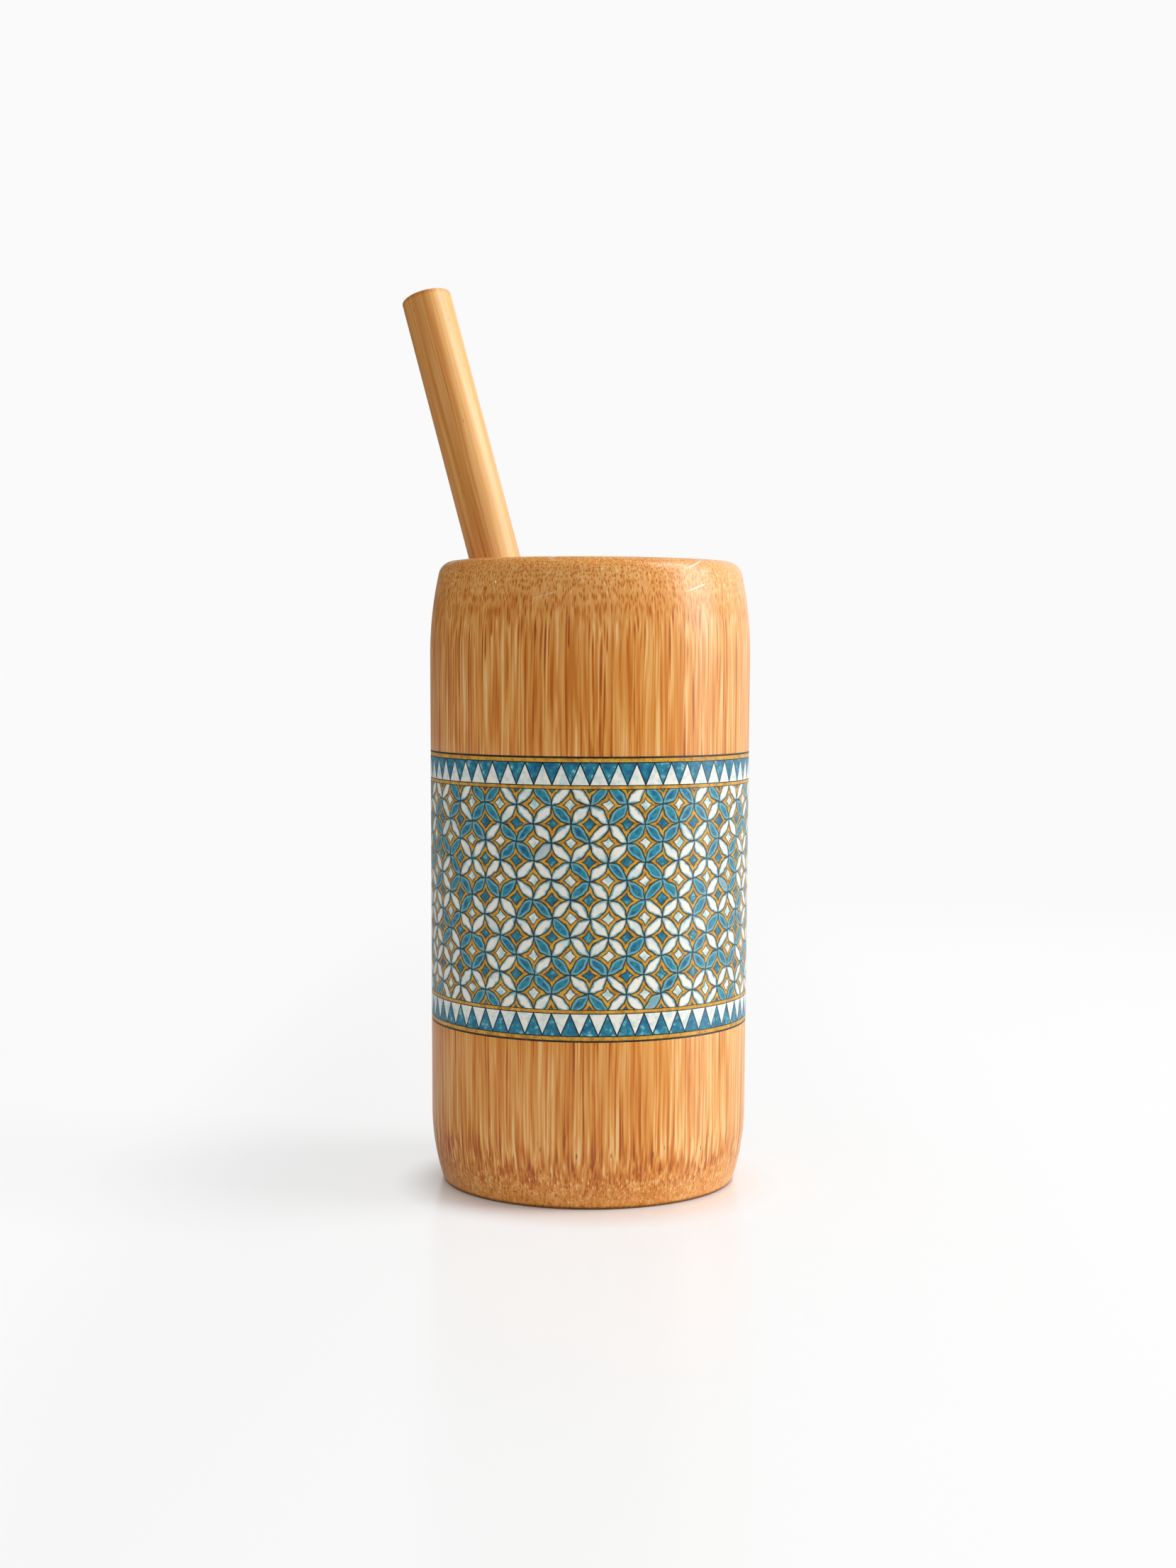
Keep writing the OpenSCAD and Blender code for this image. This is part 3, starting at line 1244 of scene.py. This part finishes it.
@dataclass
class PrintedBand:
    """The printed wrap and the two lacquer lines along its edges, flush in the cup's groove."""

    cup: TurnedCup
    low_z: float = 35.5
    height: float = 59.0
    thickness: float = 0.4
    glue_t: float = 0.1
    line_h: float = 0.4
    seam_gap: float = 0.2
    segments: int = 256

    @property
    def high_z(self) -> float:
        """The height of the band's upper edge."""
        return self.low_z + self.height

    @property
    def groove_t(self) -> float:
        """The depth of the groove, with room for glue."""
        return self.thickness + self.glue_t

    def section(self, low: float, high: float) -> Lathe:
        """Draw the section of a ring that lies flush in the wall.

        Args:
            low: The ring's lower edge.
            high: The ring's upper edge.

        Returns:
            The closed outline.
        """
        low_r, high_r = self.cup.outer_r(low), self.cup.outer_r(high)
        lathe = Lathe(low_r - self.thickness, low).line(low_r, low).line(high_r, high)
        return lathe.line(high_r - self.thickness, high).close()

    def build(self) -> None:
        """Make the wrap and its two lines and dress them."""
        low, high = self.low_z + self.line_h, self.high_z - self.line_h
        seam = self.seam_gap / self.cup.outer_r(low)
        wrap = self.section(low, high).sweep(QUARTER + seam / 2, FULL_TURN - seam, self.segments)
        print_finish = TilePrint(low, high).material()
        make_piece(wrap, "printed_wrap", print_finish, self.cup.body, "pattern_band")
        lacquer = EdgeLacquer().material()
        upper = self.section(high, self.high_z).turn(self.segments)
        make_piece(upper, "upper_line", lacquer, self.cup.body, "upper_edge_line")
        lower = self.section(self.low_z, low).turn(self.segments)
        make_piece(lower, "lower_line", lacquer, self.cup.body, "lower_edge_line")


@dataclass
class LeaningStraw:
    """The loose bamboo straw."""

    length: float = 196.5
    radius: float = 5.6
    wall: float = 1.9
    edge_r: float = 0.45
    body: str = "straw"
    segments: int = 96
    inner_steps: int = 4
    outer_steps: int = 5
    length_steps: int = 24
    centre: Vector = field(init=False)
    turn: Matrix = field(init=False)

    def __post_init__(self) -> None:
        """Find the straw's middle and lean from the frame."""
        low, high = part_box("straw")
        self.centre = (low + high) / 2
        lift = next(joint for joint in frame["joints"] if joint["child"] == self.body)
        self.turn = Vector((0.0, 0.0, 1.0)).rotation_difference(Vector(lift["axis"])).to_matrix()

    def tube(self) -> bmesh.types.BMesh:
        """Make the tube and lean it in the cup.

        Returns:
            The straw's mesh.
        """
        top, outer, edge = self.length / 2, self.radius, self.edge_r
        inner = outer - self.wall
        lathe = Lathe(inner, -top + edge).arc(inner + edge, -top + edge, QUARTER, self.inner_steps)
        lathe.line(outer - edge, -top).arc(outer - edge, -top + edge, QUARTER, self.outer_steps)
        lathe.line(outer, top - edge, self.length_steps)
        lathe.arc(outer - edge, top - edge, QUARTER, self.outer_steps).line(inner + edge, top)
        mesh = lathe.arc(inner + edge, top - edge, QUARTER, self.inner_steps).close().turn(self.segments)
        place = Matrix.Translation(self.centre * PER_METRE) @ self.turn.to_4x4()
        bmesh.ops.transform(mesh, matrix=place, verts=mesh.verts[:])
        return mesh

    def build(self) -> None:
        """Make the straw and dress it."""
        skin = StrawBamboo(self.centre, self.turn).material()
        make_piece(self.tube(), "bamboo_straw", skin, self.body, "straw")


class Side(Enum):
    """Where a studio lamp hangs: its turn from the front towards +X and its rise, in degrees."""

    KEY = (86.0, 33.0)
    FILL = (24.0, 26.0)


@dataclass
class Studio:
    """A pale floor without an end, two soft lamps and the camera.

    The lamps' sizes and places and the floor's radius are in metres.
    """

    lens: float = 51.4
    sensor_w: float = 36.0
    camera_x: float = -0.36
    camera_distance: float = 491.74
    camera_height: float = 115.25
    camera_pitch: float = 0.0576
    camera_roll: float = 0.0041

    # The floor's paper, and what light bounces off it: less from right before the camera
    floor_r: float = 30.0
    floor_segments: int = 64
    paper: Colour = paint(250, 250, 250)
    paper_rough: float = 0.22
    paper_ior: float = 1.75
    bounce: Colour = paint(232, 232, 232)
    front_bounce: Colour = paint(60, 60, 60)
    front: Span = (-420.0, -250.0)

    # How much white glows over the paper: none in the shadow, more at the sides, all of it far out
    shadow_ahead: float = 6.0
    shadow: Span = (29.0, 44.0)
    floor_glow: float = 0.62
    sides: Span = (60.0, 120.0)
    sides_glow: float = 0.22
    right: Span = (120.0, 240.0)
    right_glow: float = 0.16
    far: Span = (120.0, 700.0)

    # The room's light from before and behind, and what polished faces mirror: the backdrop or the dim room
    white: float = 0.955
    front_level: float = 0.66
    back_level: float = 0.34
    room_level: float = 0.03
    room_way: Span = (0.5, 0.8)
    room: Span = (-1.0, 1.0)
    mirror_way: Span = (0.8, 0.6)
    mirror: Span = (0.1, 0.8)

    # The lamps: how far off, how wide and high, how strong in watts, and the height they face
    key_distance: float = 3.2
    key_size: Span = (1.5, 3.8)
    key_power: float = 94.0
    fill_distance: float = 3.0
    fill_size: Span = (4.0, 2.0)
    fill_power: float = 18.0
    look_z: float = 0.07

    def floor(self) -> None:
        """Lay the floor."""
        mesh = bmesh.new()
        bmesh.ops.create_circle(mesh, cap_ends=True, segments=self.floor_segments, radius=self.floor_r)
        data = bpy.data.meshes.new("studio_floor")
        mesh.to_mesh(data)
        mesh.free()
        data.materials.append(self.floor_finish())
        floor = bpy.data.objects.new("studio_floor", data)
        bpy.context.scene.collection.objects.link(floor)

    def floor_finish(self) -> bpy.types.Material:
        """Build the floor's paper, which takes the cup's shadow and runs into the backdrop without a line.

        Returns:
            The floor's material.
        """
        g = Graph("studio_floor")
        x, y, _ = g.place()
        ray = g.node("ShaderNodeLightPath", output="Is Camera Ray")
        far = g.math("SQRT", x * x + y * y).fade(*self.far)
        ahead = y + self.shadow_ahead
        share = g.math("SQRT", x * x + ahead * ahead).fade(*self.shadow, 0.0, self.floor_glow)
        share = share + abs(x).fade(*self.sides, 0.0, self.sides_glow)
        share = (share + x.fade(*self.right, 0.0, self.right_glow)) * (1 - far) + far
        bounce = g.mix(y.fade(*self.front), self.front_bounce, self.bounce)
        colour = g.mix(ray, bounce, self.paper)
        paper = {"Base Color": colour, "Roughness": self.paper_rough, "IOR": self.paper_ior}
        backdrop = (self.white, self.white, self.white, 1.0)
        light = {"Color": g.mix(far, WHITE, backdrop), "Strength": 1.0}
        matt = g.node("ShaderNodeBsdfPrincipled", {}, paper)
        glow = g.node("ShaderNodeEmission", {}, light)
        return g.finish(g.node("ShaderNodeMixShader", {}, {0: ray * share, 1: matt, 2: glow}))

    def world(self) -> None:
        """Light the room, show it white to the camera, and mirror the backdrop and the dim room."""
        world = bpy.data.worlds.new("studio_world")
        world.use_nodes = True
        bpy.context.scene.world = world
        g = Graph.over(world.node_tree)
        camera_ray = g.node("ShaderNodeLightPath", output="Is Camera Ray")
        rays = camera_ray.socket.node.outputs
        mirrored = g.math("MAXIMUM", Wire(g, rays["Is Glossy Ray"]), Wire(g, rays["Is Transmission Ray"]))
        x, y, _ = g.split(g.node("ShaderNodeTexCoord", output="Generated"))
        (mirror_x, mirror_y), (room_x, room_y) = self.mirror_way, self.room_way
        mirror = (x * mirror_x + y * mirror_y).fade(*self.mirror, self.room_level, self.white)
        room = (x * room_x + y * room_y).fade(*self.room, self.front_level, self.back_level)
        level = room + mirrored * (mirror - room)
        level = level + camera_ray * (self.white - level)
        light = g.node("ShaderNodeBackground", {}, {"Color": WHITE, "Strength": level})
        g.tree.links.new(light.socket, g.tree.nodes.new("ShaderNodeOutputWorld").inputs["Surface"])

    def lamp(self, name: str, side: Side, distance: float, size: Span, power: float) -> None:
        """Hang a soft lamp that faces the cup.

        Args:
            name: The lamp's name.
            side: Where it hangs.
            distance: How far from the cup, in metres.
            size: Its width and height, in metres.
            power: Its power in watts.
        """
        turn, rise = (math.radians(angle) for angle in side.value)
        data = bpy.data.lights.new(name, "AREA")
        data.shape, data.energy = "RECTANGLE", power
        data.size, data.size_y = size
        lamp = bpy.data.objects.new(name, data)
        out = Vector((math.sin(turn) * math.cos(rise), -math.cos(turn) * math.cos(rise), math.sin(rise)))
        lamp.location = Vector((0.0, 0.0, self.look_z)) + out * distance
        lamp.rotation_euler = out.to_track_quat("Z", "Y").to_euler()
        lamp.visible_glossy = side is Side.KEY
        bpy.context.scene.collection.objects.link(lamp)

    def camera(self) -> None:
        """Set the camera where the photograph was taken."""
        data = bpy.data.cameras.new("camera")
        data.lens, data.sensor_width = self.lens, self.sensor_w
        camera = bpy.data.objects.new("camera", data)
        camera.location = Vector((self.camera_x, -self.camera_distance, self.camera_height)) * MM
        pitch = Matrix.Rotation(QUARTER - self.camera_pitch, 3, "X")
        camera.rotation_euler = (pitch @ Matrix.Rotation(self.camera_roll, 3, "Z")).to_euler()
        bpy.context.scene.collection.objects.link(camera)
        bpy.context.scene.camera = camera

    def build(self) -> None:
        """Set up the whole studio."""
        self.camera()
        self.floor()
        self.world()
        self.lamp("key_lamp", Side.KEY, self.key_distance, self.key_size, self.key_power)
        self.lamp("fill_lamp", Side.FILL, self.fill_distance, self.fill_size, self.fill_power)
        bpy.context.scene.view_settings.view_transform = "Standard"


def main() -> None:
    """Build the studio and every piece in order."""
    logging.basicConfig(level=logging.INFO, format="%(name)s: %(message)s")
    Studio().build()
    cup = TurnedCup()
    band = PrintedBand(cup)
    cup.build(band)
    band.build()
    LeaningStraw().build()


if __name__ == "__main__":
    main()
